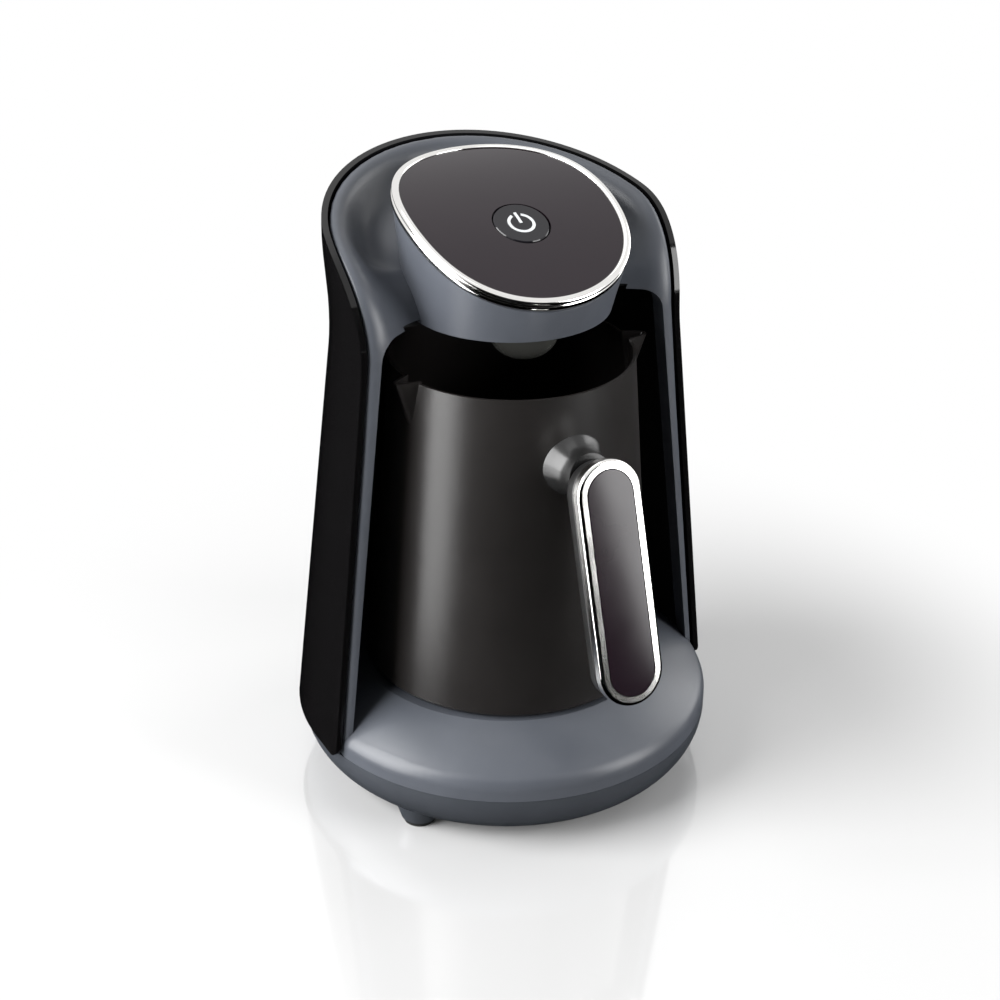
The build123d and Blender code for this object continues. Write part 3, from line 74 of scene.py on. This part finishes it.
def clouded(finish, surface, size, colour, shade, low, high):
    """Let the colour and the roughness drift a little over patches of this size."""
    place = add(finish, "TexCoord")
    cloud = add(finish, "TexNoise", Scale=1 / size, Detail=3.0, Roughness=0.6)
    tint = add(finish, "ValToRGB")
    ends = zip(tint.color_ramp.elements, (0.3, 0.7), (1 - shade, 1 + shade))
    for end, position, strength in ends:
        end.position = position
        end.color = [c * strength for c in colour[:3]] + [1]
    spread = add(finish, "MapRange", To_Min=low, To_Max=high)
    wire(finish, place.outputs["Object"], cloud.inputs["Vector"])
    wire(finish, cloud.outputs["Fac"], tint.inputs["Fac"])
    wire(finish, cloud.outputs["Fac"], spread.inputs["Value"])
    wire(finish, tint.outputs["Color"], surface.inputs["Base Color"])
    wire(finish, spread.outputs["Result"], surface.inputs["Roughness"])
    return place


def grained(finish, surface, place, size, depth, detail=2.0):
    """A raised grain of this size and depth."""
    grain = add(finish, "TexNoise", Scale=1 / size, Detail=detail)
    bump = add(finish, "Bump", Strength=1.0, Distance=depth)
    wire(finish, place.outputs["Object"], grain.inputs["Vector"])
    wire(finish, grain.outputs["Fac"], bump.inputs["Height"])
    wire(finish, bump.outputs["Normal"], surface.inputs["Normal"])


def moulded(name, colour, roughness, grain=0.4 * MM, depth=0.004 * MM, shade=0.06, reflects=0.5):
    """Moulded plastic or rubber: a fine texture, with slight drifts of colour and gloss."""
    finish, surface = plain(name, colour, roughness, reflects=reflects)
    place = clouded(
        finish, surface, size=22 * MM, colour=colour, shade=shade,
        low=roughness - 0.04, high=roughness + 0.04,
    )
    grained(finish, surface, place, size=grain, depth=depth)
    return finish


def dress(node, finish):
    """Give a CAD node this finish."""
    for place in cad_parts[node].material_slots:
        place.material = finish


dress("base_tub", moulded("tub_grey", TUB_GREY, roughness=0.42))
dress("foot_pads", moulded("foot_rubber", PAD_BLACK, roughness=0.75, grain=0.8 * MM, depth=0.02 * MM))

# ---------------------------------------------------------------- base cover
# The slate-grey ring over the tub is the same ABS with a satin texture that catches soft light.
# Four long screws from below draw it down on the tub, and the hot plate fills its middle.

SLATE = (0.074, 0.081, 0.096, 1)
STEEL = (0.56, 0.56, 0.55, 1)


def steel(name, colour, roughness, drawn=0.3 * MM, depth=0.002 * MM):
    """Bare or plated steel with faint drawing marks."""
    finish, surface = plain(name, colour, roughness, metal=1.0)
    place = clouded(
        finish, surface, size=9 * MM, colour=colour, shade=0.08,
        low=roughness - 0.06, high=roughness + 0.08,
    )
    grained(finish, surface, place, size=drawn, depth=depth, detail=4.0)
    return finish


slate_satin = moulded("slate_satin", SLATE, roughness=0.36, grain=0.35 * MM, depth=0.003 * MM, reflects=0.45)
dress("base_cover", slate_satin)
screw_steel = steel("screw_steel", STEEL, roughness=0.3)
dress("base_screws", screw_steel)

# ---------------------------------------------------------------- cord inlet
# A black rubber bush with a bore for the mains lead is moulded in one piece. Its neck is pushed
# into the hole in the tub's back wall, up to the flange that stays outside.

dress("cord_inlet", moulded("inlet_rubber", PAD_BLACK, roughness=0.6, grain=0.6 * MM, depth=0.01 * MM))

# ---------------------------------------------------------------- hot plate and what hangs under it
# A spun stainless plate sits in a red silicone seal. Under it are the sheathed element, the pressed
# clamp with its three screws, the sprung sensor in its cup, and the thermal cut-out.

SEAL_RED = (0.28, 0.05, 0.035, 1)
SHEATH = (0.2, 0.19, 0.175, 1)
BARE_STEEL = (0.5, 0.5, 0.48, 1)
HEAT_CREAM = (0.6, 0.55, 0.42, 1)
THERMOSET = (0.03, 0.02, 0.016, 1)
WAVE_RATE = 20  # the wave texture's own factor on its scale


def turned_steel(name, colour, roughness, pitch):
    """Steel with the fine rings that a lathe or a spinning tool leaves round the Z axis."""
    finish, surface = plain(name, colour, roughness, metal=1.0)
    place = clouded(
        finish, surface, size=15 * MM, colour=colour, shade=0.06,
        low=roughness - 0.05, high=roughness + 0.07,
    )
    rings = add(finish, "TexWave", Scale=1 / pitch / WAVE_RATE, Distortion=0.4, Detail=2.0)
    rings.wave_type = "RINGS"
    rings.rings_direction = "Z"
    bump = add(finish, "Bump", Strength=1.0, Distance=0.004 * MM)
    wire(finish, place.outputs["Object"], rings.inputs["Vector"])
    wire(finish, rings.outputs["Fac"], bump.inputs["Height"])
    wire(finish, bump.outputs["Normal"], surface.inputs["Normal"])
    return finish


dress("hot_plate", turned_steel("plate_steel", BARE_STEEL, roughness=0.32, pitch=0.5 * MM))
dress("plate_seal", moulded("seal_silicone", SEAL_RED, roughness=0.5))
dress("heating_element", steel("element_sheath", SHEATH, roughness=0.5, drawn=0.8 * MM))
dress("element_clamp", steel("clamp_steel", BARE_STEEL, roughness=0.38))
dress("clamp_screws", screw_steel)
dress("sensor_plunger", turned_steel("sensor_cap", STEEL, roughness=0.2, pitch=0.3 * MM))
dress("plunger_spring", steel("spring_steel", STEEL, roughness=0.25))
dress("plunger_housing", moulded("heat_plastic", HEAT_CREAM, roughness=0.45))
dress("thermal_cutout", moulded("cutout_body", THERMOSET, roughness=0.3))

# ---------------------------------------------------------------- power board
# A lacquered board on four posts of the tub carries the relay, the small transformer, the filter
# capacitor and the screw terminals of the lead.

BOARD_GREEN = (0.012, 0.11, 0.035, 1)
RELAY_BLUE = (0.02, 0.06, 0.26, 1)
CORE_GREY = (0.11, 0.1, 0.095, 1)
CAPACITOR_YELLOW = (0.62, 0.42, 0.05, 1)
TERMINAL_GREEN = (0.04, 0.22, 0.07, 1)


def lacquered_board(name):
    """Green solder lacquer over faint copper tracks."""
    finish, surface = plain(name, BOARD_GREEN, roughness=0.3)
    place = clouded(finish, surface, size=30 * MM, colour=BOARD_GREEN, shade=0.1, low=0.25, high=0.4)
    tracks = add(finish, "TexBrick", Scale=1 / (9 * MM), Mortar_Size=0.08)
    bump = add(finish, "Bump", Strength=1.0, Distance=0.03 * MM)
    wire(finish, place.outputs["Object"], tracks.inputs["Vector"])
    wire(finish, tracks.outputs["Fac"], bump.inputs["Height"])
    wire(finish, bump.outputs["Normal"], surface.inputs["Normal"])
    return finish


board_green = lacquered_board("board_green")
dress("power_board", board_green)
dress("board_screws", screw_steel)
dress("power_relay", moulded("relay_case", RELAY_BLUE, roughness=0.28))
dress("mains_transformer", steel("core_steel", CORE_GREY, roughness=0.5, drawn=0.5 * MM))
dress("filter_capacitor", moulded("capacitor_box", CAPACITOR_YELLOW, roughness=0.32))
dress("terminal_block", moulded("terminal_body", TERMINAL_GREEN, roughness=0.42))

# ---------------------------------------------------------------- outer shell
# One gloss black wall wraps the back and the sides. It is polished ABS, so it mirrors its
# surroundings with the faint waviness of a moulding, and two screws hold it to the base.

PIANO_BLACK = (0.0035, 0.0033, 0.0035, 1)


def glossy(name, colour, roughness=0.07, ripple=0.012 * MM, reflects=0.4):
    """Polished plastic: a near mirror with the long, shallow ripple of a moulded wall."""
    finish, surface = plain(name, colour, roughness, reflects=reflects)
    place = clouded(
        finish, surface, size=30 * MM, colour=colour, shade=0.05,
        low=roughness - 0.02, high=roughness + 0.04,
    )
    grained(finish, surface, place, size=18 * MM, depth=ripple, detail=1.0)
    return finish


dress("outer_shell", glossy("shell_gloss", PIANO_BLACK))
dress("shell_screws", screw_steel)

# ---------------------------------------------------------------- hood frame
# One satin slate moulding makes the two front flanges, the dished hood and the head's tapered
# wall. It is the same plastic as the base cover and snaps inside the shell's rim.

SOFT_BEND = math.radians(28)  # a sharper bend than this is shaded as an edge
WELD = 0.002 * MM             # corners nearer than this become one


def smoothed(node, name):
    """A CAD node's surface as a piece of its own, with its soft bends shaded smooth."""
    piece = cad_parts[node].copy()
    piece.data = piece.data.copy()
    piece.name = name
    bpy.context.scene.collection.objects.link(piece)
    mesh = bmesh.new()
    mesh.from_mesh(piece.data)
    bmesh.ops.remove_doubles(mesh, verts=mesh.verts, dist=WELD)
    for face in mesh.faces:
        face.smooth = True
    for edge in mesh.edges:
        edge.smooth = len(edge.link_faces) == 2 and edge.calc_face_angle(0) < SOFT_BEND
    mesh.to_mesh(piece.data)
    mesh.free()
    return piece


hood = smoothed("hood_frame", "dished_hood")
hood.material_slots[0].material = slate_satin
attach(hood, "machine")
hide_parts("hood_frame")

# ---------------------------------------------------------------- bay liner and loom
# The bay that takes the pot is lined with a thin matt black wall, closed by a ceiling over the
# pot. The sleeved loom climbs behind it from the power board to the head.

LINER_BLACK = (0.007, 0.007, 0.0075, 1)

dress("bay_liner", moulded("liner_black", LINER_BLACK, roughness=0.5, grain=0.5 * MM, reflects=0.35))
dress("wire_loom", moulded("loom_black", PAD_BLACK, roughness=0.6, grain=0.7 * MM, depth=0.05 * MM))

# ---------------------------------------------------------------- bright ring
# A chromed ring frames the panel: a flat bead over a groove and a second bead that meets the
# head's wall. It is plated plastic, pressed over the wall's lip and the edge of the panel.

CHROME = (0.82, 0.81, 0.79, 1)
PANEL_PLACE = (-6.738, 211.9)  # the panel's datum from front to back and in height, in mm
PANEL_TILT = math.radians(24.1)
PANEL_CURVE_R = 183.0
PANEL_SHIFT = 12.0
PANEL_MEAN_R = 41.2
PANEL_WAVES = ((1, 1.05), (2, 2.3), (4, -0.64))  # egg, stretch and squareness of the outline
RING_STEPS = 240
RING_BEADS = (
    (-1.2, 0.02), (-1.12, 0.3), (-0.75, 0.56), (-0.1, 0.7), (0.6, 0.7), (1.12, 0.58), (1.43, 0.28),
    (1.5, -0.12), (1.4, -0.48), (1.12, -0.7), (0.86, -0.92), (0.86, -1.16), (1.12, -1.36),
    (1.4, -1.62), (1.5, -2.1), (1.5, -2.75), (1.4, -3.18), (1.12, -3.43), (0.06, -3.43),
    (0.06, 0.02),
)  # distance out from the panel's edge and height over its surface, in mm


def plated(name, colour=CHROME, roughness=0.09):
    """Bright plating with a faint haze."""
    finish, surface = plain(name, colour, roughness, metal=1.0)
    place = clouded(
        finish, surface, size=14 * MM, colour=colour, shade=0.03,
        low=roughness - 0.03, high=roughness + 0.05,
    )
    grained(finish, surface, place, size=3 * MM, depth=0.002 * MM)
    return finish


def on_panel(angle, outward, lift):
    """A point at this angle round the panel's outline, this far outside it and over its curve."""
    reach = PANEL_MEAN_R + outward + sum(size * math.cos(turns * angle) for turns, size in PANEL_WAVES)
    up = PANEL_SHIFT + reach * math.cos(angle)
    rise = math.sqrt((PANEL_CURVE_R + lift) ** 2 - up ** 2) - PANEL_CURVE_R
    along, out = math.cos(PANEL_TILT), math.sin(PANEL_TILT)
    back = PANEL_PLACE[0] + up * along - rise * out
    high = PANEL_PLACE[1] + up * out + rise * along
    return Vector((reach * math.sin(angle), back, high)) * MM


def piece_from(mesh, name, body, slot, finish, *nodes):
    """A finished mesh as a smooth piece that rides a body and stands in for CAD nodes."""
    bmesh.ops.recalc_face_normals(mesh, faces=mesh.faces)
    for face in mesh.faces:
        face.smooth = True
    data = bpy.data.meshes.new(name)
    mesh.to_mesh(data)
    mesh.free()
    piece = bpy.data.objects.new(name, data)
    bpy.context.scene.collection.objects.link(piece)
    data.materials.append(finish)
    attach(piece, body)
    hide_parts(*nodes)


bright_chrome = plated("bright_chrome")
mesh = bmesh.new()
loops = []
for i in range(RING_STEPS):
    angle = 2 * math.pi * i / RING_STEPS
    loops.append([mesh.verts.new(on_panel(angle, outward, lift)) for outward, lift in RING_BEADS])
for i in range(RING_STEPS):
    here, there = loops[i - 1], loops[i]
    for j in range(len(RING_BEADS)):
        mesh.faces.new((here[j - 1], here[j], there[j], there[j - 1]))
piece_from(mesh, "beaded_ring", "machine", "bright_chrome", bright_chrome, "chrome_ring")

# ---------------------------------------------------------------- panel and button
# The curved panel is plum-black acrylic, printed from below and polished. The round button is the
# same plastic, with the power mark moulded through it in milky white.

PLUM_BLACK = (0.014, 0.008, 0.012, 1)
BUTTON_BLACK = (0.012, 0.011, 0.014, 1)
MILK_WHITE = (0.8, 0.82, 0.84, 1)
MOULDED_BLACK = (0.012, 0.012, 0.012, 1)

dress("top_panel", glossy("panel_gloss", PLUM_BLACK, ripple=0.006 * MM))
dress("power_button", glossy("button_gloss", BUTTON_BLACK, ripple=0.004 * MM))
dress("power_symbol", moulded("symbol_white", MILK_WHITE, roughness=0.3, shade=0.02))
dress("switch_plunger", moulded("plunger_black", MOULDED_BLACK, roughness=0.45))

# ---------------------------------------------------------------- inside the head
# Under the panel a black carrier guides the button's stem and holds the control board, with its
# switch, controller, buzzer and lamps. A dark cover with three screws closes the head from below.

SCREW_BLACK = (0.04, 0.04, 0.04, 1)
LAMP = (0.85, 0.88, 0.9, 1)


def clear_lamp(name):
    """Clear cast resin."""
    finish, surface = plain(name, LAMP, roughness=0.08)
    surface.inputs["Transmission Weight"].default_value = 0.8
    place = clouded(finish, surface, size=2 * MM, colour=LAMP, shade=0.02, low=0.05, high=0.15)
    grained(finish, surface, place, size=0.6 * MM, depth=0.002 * MM)
    return finish


carrier_black = moulded("carrier_black", MOULDED_BLACK, roughness=0.45)
screw_black = steel("screw_black", SCREW_BLACK, roughness=0.35)
dress("button_carrier", carrier_black)
dress("control_board", board_green)
dress("control_screws", screw_black)
dress("push_switch", moulded("switch_black", MOULDED_BLACK, roughness=0.4))
dress("control_chip", moulded("chip_black", MOULDED_BLACK, roughness=0.55, grain=0.3 * MM))
dress("buzzer", moulded("buzzer_black", MOULDED_BLACK, roughness=0.35))
dress("status_lamps", clear_lamp("lamp_clear"))
dress("head_cover", moulded("cover_black", LINER_BLACK, roughness=0.45))
dress("head_screws", screw_black)

# ---------------------------------------------------------------- sensor nose
# A smoky polycarbonate nose under the head hides the sensor that watches the foam rise. It is
# moulded as a thin cap, and its rim meets the dark cover of the head.

SMOKE = (0.05, 0.05, 0.046, 1)

dress("sensor_nose", glossy("nose_smoke", SMOKE, roughness=0.22, ripple=0.004 * MM))
dress("foam_sensor", moulded("sensor_black", MOULDED_BLACK, roughness=0.35))

# ---------------------------------------------------------------- pot
# The pot is deep-drawn steel with a satin, brown-black non-stick coat that has a very fine
# speckle. Its bare base disc is sunk in the foot, and a welded stud takes the handle's screw.

COAT_BROWN = (0.013, 0.0115, 0.011, 1)


def sprayed_coat(name):
    """Non-stick coat: satin, with slight drifts of colour and gloss and an orange-peel bump."""
    finish, surface = plain(name, COAT_BROWN, roughness=0.33)
    place = clouded(finish, surface, size=25 * MM, colour=COAT_BROWN, shade=0.1, low=0.3, high=0.36)
    grained(finish, surface, place, size=0.7 * MM, depth=0.02 * MM, detail=3.0)
    return finish


pot_coating = sprayed_coat("pot_coating")
dress("pot_body", pot_coating)
dress("pot_base_disc", turned_steel("disc_steel", BARE_STEEL, roughness=0.35, pitch=0.8 * MM))
dress("pot_stud", screw_steel)

# ---------------------------------------------------------------- handle
# A black flared boss stands the handle off the pot's wall. The handle is a black back shell and a
# polished insert in a bright frame, all held by one long screw into the stud.

dress("handle_boss", moulded("boss_black", MOULDED_BLACK, roughness=0.24, depth=0.001 * MM))
dress("handle_shell", moulded("handle_black", MOULDED_BLACK, roughness=0.3))
dress("handle_frame", bright_chrome)
dress("handle_insert", glossy("insert_gloss", PLUM_BLACK, ripple=0.006 * MM))
dress("handle_screw", screw_steel)

# ---------------------------------------------------------------- studio
# The machine stands on a plain polished white floor that fades into the white backdrop, in soft
# light from boxes at the left, at the right, overhead and at the front right. A dark card round
# the machine and a dark wall behind the camera show only in reflections and keep its gloss black.

FLOOR_SIZE = 12.0
FLOOR_WHITE = (0.7, 0.7, 0.7, 1)
FADE_NEAR = 0.14         # the floor begins to turn to the backdrop's white this far out
FADE_FAR = 0.28
CARD_R = 1.1
CARD_LIFT = 0.3 * MM
CARD_NEAR_R = 0.2        # reach of the card in the gap that it leaves towards the left light
CARD_GAP = (150, 195)    # degrees round the machine
CARD_STEP = 5
WALL_R = 1.6
WALL_HEIGHT = 1.3
WALL_SWEEP = (-152, -40)
WALL_STEP = 8
WORLD_BOUNCE = 0.08      # strength of the world in soft light
HIGH_AIM = (0, 0, 0.2)   # the places in the machine that the boxes face
AIM = (0, 0, 0.15)


def stage_sheet(name, corners, finish, faces=None):
    """A sheet of the studio: one flat face, unless its faces are given."""
    mesh = bpy.data.meshes.new(name)
    mesh.from_pydata(corners, [], faces or [tuple(range(len(corners)))])
    mesh.materials.append(finish)
    sheet = bpy.data.objects.new(name, mesh)
    bpy.context.scene.collection.objects.link(sheet)


def floor_finish(name):
    """Polished white floor that turns to the backdrop's white away from the machine."""
    finish, surface = plain(name, FLOOR_WHITE, roughness=0.1)
    surface.inputs["Coat Weight"].default_value = 1.0
    surface.inputs["Coat Roughness"].default_value = 0.06
    surface.inputs["Coat IOR"].default_value = 2.0
    place = clouded(finish, surface, size=0.4, colour=FLOOR_WHITE, shade=0.01, low=0.2, high=0.3)
    distance = add(finish, "VectorMath")
    distance.operation = "LENGTH"
    fade = add(finish, "MapRange", From_Min=FADE_NEAR, From_Max=FADE_FAR)
    fade.interpolation_type = "SMOOTHSTEP"
    seen = add(finish, "LightPath")
    share = add(finish, "Math")
    share.operation = "MULTIPLY"
    white = add(finish, "Emission", Strength=1.0)
    mix = add(finish, "MixShader")
    wire(finish, place.outputs["Object"], distance.inputs[0])
    wire(finish, distance.outputs["Value"], fade.inputs["Value"])
    wire(finish, fade.outputs["Result"], share.inputs[0])
    wire(finish, seen.outputs["Is Camera Ray"], share.inputs[1])
    wire(finish, share.outputs["Value"], mix.inputs["Fac"])
    wire(finish, surface.outputs["BSDF"], mix.inputs[1])
    wire(finish, white.outputs["Emission"], mix.inputs[2])
    wire(finish, mix.outputs["Shader"], finish.node_tree.nodes["Material Output"].inputs["Surface"])
    return finish


def card_finish(name):
    """Black where a reflection meets its front, and clear to everything else."""
    finish, surface = plain(name, (0.0, 0.0, 0.0, 1), roughness=1.0, reflects=0.0)
    seen = add(finish, "LightPath")
    side = add(finish, "NewGeometry")
    front = add(finish, "Math")
    front.operation = "SUBTRACT"
    front.use_clamp = True
    clear = add(finish, "BsdfTransparent")
    mix = add(finish, "MixShader")
    wire(finish, seen.outputs["Is Glossy Ray"], front.inputs[0])
    wire(finish, side.outputs["Backfacing"], front.inputs[1])
    wire(finish, front.outputs["Value"], mix.inputs["Fac"])
    wire(finish, clear.outputs["BSDF"], mix.inputs[1])
    wire(finish, surface.outputs["BSDF"], mix.inputs[2])
    wire(finish, mix.outputs["Shader"], finish.node_tree.nodes["Material Output"].inputs["Surface"])
    return finish


def arc(reach, start, end, step, high):
    """Points round the machine at this distance and height, from one angle to another."""
    turns = [math.radians(angle) for angle in range(start, end + 1, step)]
    return [(reach * math.cos(turn), reach * math.sin(turn), high) for turn in turns]


half = FLOOR_SIZE / 2
floor_corners = [(-half, -half, 0), (half, -half, 0), (half, half, 0), (-half, half, 0)]
stage_sheet("floor", floor_corners, floor_finish("floor_white"))
card_black = card_finish("card_black")
card_rim = arc(CARD_R, CARD_GAP[1] - 360, CARD_GAP[0], CARD_STEP, CARD_LIFT)
card_rim += arc(CARD_NEAR_R, *CARD_GAP, CARD_STEP, CARD_LIFT)
stage_sheet("dark_card", card_rim, card_black)
wall_foot = arc(WALL_R, *WALL_SWEEP, WALL_STEP, 0)
wall_top = arc(WALL_R, *WALL_SWEEP, WALL_STEP, WALL_HEIGHT)
count = len(wall_foot)
wall_faces = [(i + 1, i, count + i, count + i + 1) for i in range(count - 1)]
stage_sheet("dark_wall", wall_foot + wall_top, card_black, wall_faces)

world = bpy.data.worlds.new("studio")
world.use_nodes = True
bpy.context.scene.world = world
backdrop = world.node_tree.nodes["Background"]
backdrop.inputs["Color"].default_value = (1, 1, 1, 1)
soft = add(world, "Background", Strength=WORLD_BOUNCE)
path = add(world, "LightPath")
seen = add(world, "Math")
seen.operation = "MAXIMUM"
shown = add(world, "Math")
shown.operation = "MAXIMUM"
blend = add(world, "MixShader")
wire(world, path.outputs["Is Camera Ray"], seen.inputs[0])
wire(world, path.outputs["Is Glossy Ray"], seen.inputs[1])
wire(world, seen.outputs["Value"], shown.inputs[0])
wire(world, path.outputs["Is Transmission Ray"], shown.inputs[1])
wire(world, shown.outputs["Value"], blend.inputs["Fac"])
wire(world, soft.outputs["Background"], blend.inputs[1])
wire(world, backdrop.outputs["Background"], blend.inputs[2])
wire(world, blend.outputs["Shader"], world.node_tree.nodes["World Output"].inputs["Surface"])


def softbox(name, place, aim, width, height, power):
    """A soft lamp that faces a point on the machine."""
    lamp = bpy.data.lights.new(name, "AREA")
    lamp.shape = "RECTANGLE"
    lamp.size = width
    lamp.size_y = height
    lamp.energy = power
    box = bpy.data.objects.new(name, lamp)
    box.location = place
    box.rotation_euler = (Vector(aim) - Vector(place)).to_track_quat("-Z", "Y").to_euler()
    bpy.context.scene.collection.objects.link(box)


softbox("left_box", (-1.0, 0.1, 0.55), HIGH_AIM, width=0.9, height=1.1, power=34)
softbox("top_box", (0.0, 0.3, 1.5), AIM, width=0.9, height=0.9, power=3)
softbox("front_box", (0.7, -0.872, 0.42), AIM, width=0.5, height=0.8, power=10)
softbox("right_box", (1.1, 0.05, 0.45), AIM, width=0.6, height=0.9, power=5)

# ---------------------------------------------------------------- camera
# The camera stands to the left of the front and looks down on the machine through a long lens.
# The picture keeps its plain tones, so that the white backdrop stays white.

CAMERA_PLACE = (-0.302377, -0.541485, 0.429719)
CAMERA_TURN = (62.337, -0.227, -27.516)
LENS = 68.09
SENSOR_WIDTH = 36.0
SHIFT = (0.0302, 0.0041)

eye = bpy.data.cameras.new("camera")
eye.lens = LENS
eye.sensor_width = SENSOR_WIDTH
eye.shift_x = SHIFT[0]
eye.shift_y = SHIFT[1]
camera = bpy.data.objects.new("camera", eye)
camera.location = CAMERA_PLACE
camera.rotation_euler = [math.radians(angle) for angle in CAMERA_TURN]
bpy.context.scene.collection.objects.link(camera)
bpy.context.scene.camera = camera
bpy.context.scene.view_settings.view_transform = "Standard"
